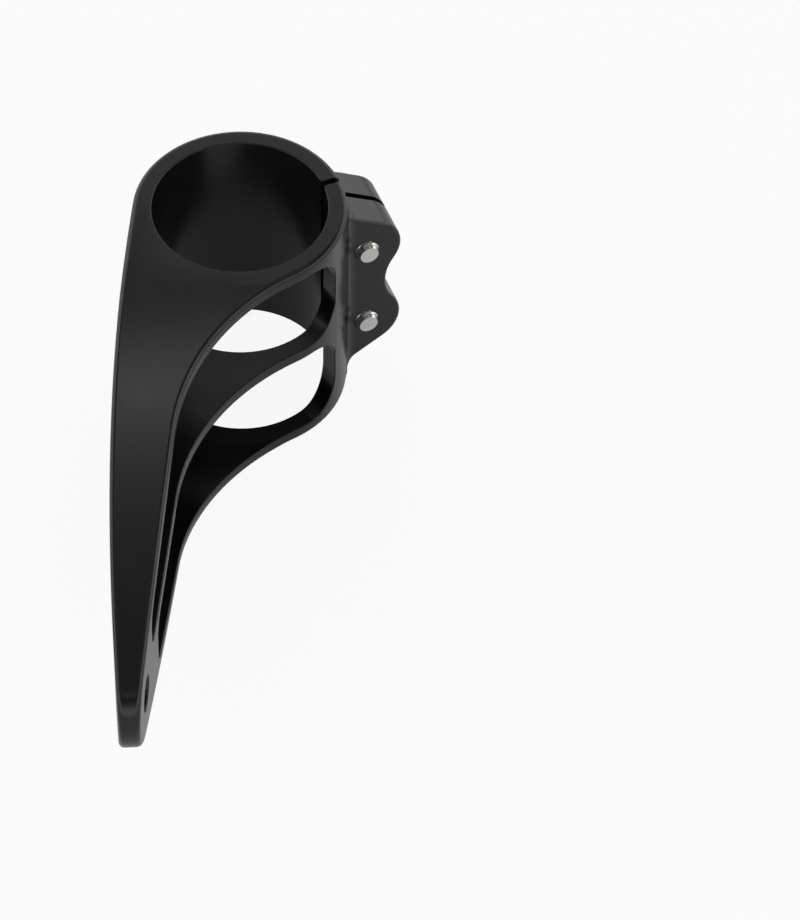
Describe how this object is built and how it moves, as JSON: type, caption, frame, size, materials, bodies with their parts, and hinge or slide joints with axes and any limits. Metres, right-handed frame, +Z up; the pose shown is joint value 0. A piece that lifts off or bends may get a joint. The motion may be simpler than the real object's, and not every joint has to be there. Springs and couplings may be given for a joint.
{
  "type": "motorbike headlight bracket",
  "caption": "Split clamp barrel for a fork tube with lobed ears and a long tapered three-bladed arm that ends in a drilled lug for a headlight bolt.",
  "frame": {"origin": "on the axis of the fork bore, at the mid-height of the clamp barrel", "axes": "+Z up along the fork tube, the arm runs towards -Y, the arm's closed outboard side faces -X and the clamp ears point to +X"},
  "size_m": [0.0709, 0.1559, 0.058],
  "materials": {
    "anodised_aluminium": "satin black anodised",
    "stainless_steel": "plain turned stainless"
  },
  "bodies": {
    "root": {"bracket": "anodised_aluminium", "clamp_screws": "stainless_steel"}
  },
  "joints": []
}
